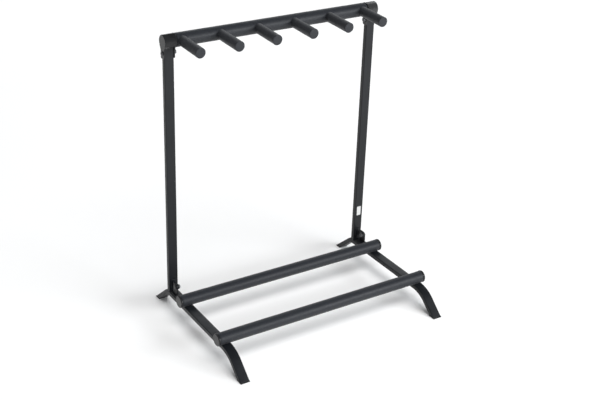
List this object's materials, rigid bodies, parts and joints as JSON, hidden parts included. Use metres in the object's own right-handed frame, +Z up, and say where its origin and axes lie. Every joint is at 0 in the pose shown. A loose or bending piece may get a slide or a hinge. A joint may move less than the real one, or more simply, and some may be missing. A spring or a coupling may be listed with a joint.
{
  "type": "guitar rack",
  "caption": "Low folding rack for several guitars: padded lower bars on bent side rails and an upright frame with a padded bar and padded neck pegs.",
  "frame": {"origin": "on the floor, at the middle of the footprint", "axes": "+X to the right seen from the front, +Y to the back, +Z up; the rack's two halves mirror each other across X = 0"},
  "size_m": [0.598, 0.44, 0.7187],
  "materials": {
    "powder_coat": "satin black powder coat on steel tube",
    "foam": "matt black closed-cell foam with a fine skin",
    "black_plastic": "moulded black nylon, semi-gloss",
    "foot_rubber": "matt black rubber",
    "black_zinc": "black zinc plated steel, semi-gloss",
    "nylon": "dark grey nylon"
  },
  "bodies": {
    "base": {"left_rail": "powder_coat", "right_rail": "powder_coat", "left_front_foot": "foot_rubber", "left_rear_foot": "foot_rubber", "right_front_foot": "foot_rubber", "right_rear_foot": "foot_rubber", "front_bar_tube": "powder_coat", "rear_bar_tube": "powder_coat", "front_bar_foam": "foam", "rear_bar_foam": "foam", "front_bar_left_cap": "black_plastic", "front_bar_right_cap": "black_plastic", "rear_bar_left_cap": "black_plastic", "rear_bar_right_cap": "black_plastic", "bar_bolts": "black_zinc", "bar_rivet_nuts": "black_zinc", "left_hinge_bracket": "powder_coat", "right_hinge_bracket": "powder_coat", "left_hinge_bolt": "black_zinc", "right_hinge_bolt": "black_zinc", "left_hinge_nut": "black_zinc", "right_hinge_nut": "black_zinc", "hinge_washers": "nylon"},
    "upper_frame": {"left_upright": "powder_coat", "right_upright": "powder_coat", "left_upright_plug": "black_plastic", "right_upright_plug": "black_plastic", "left_hinge_tongue": "powder_coat", "right_hinge_tongue": "powder_coat", "left_top_bracket": "black_plastic", "right_top_bracket": "black_plastic", "left_top_bolt": "black_zinc", "right_top_bolt": "black_zinc", "left_top_nut": "black_zinc", "right_top_nut": "black_zinc", "top_bar_tube": "powder_coat", "top_bar_foam": "foam", "peg_screws": "black_zinc", "peg_rod_1": "powder_coat", "peg_rod_2": "powder_coat", "peg_rod_3": "powder_coat", "peg_rod_4": "powder_coat", "peg_rod_5": "powder_coat", "peg_rod_6": "powder_coat", "peg_plug_1": "black_plastic", "peg_plug_2": "black_plastic", "peg_plug_3": "black_plastic", "peg_plug_4": "black_plastic", "peg_plug_5": "black_plastic", "peg_plug_6": "black_plastic", "peg_foam_1": "foam", "peg_foam_2": "foam", "peg_foam_3": "foam", "peg_foam_4": "foam", "peg_foam_5": "foam", "peg_foam_6": "foam"}
  },
  "joints": [
    {"name": "fold", "type": "hinge", "parent": "base", "child": "upper_frame", "pos_m": [0, 0.119, 0.077], "axis": [1, 0, 0], "range_deg": [0, 90]}
  ]
}
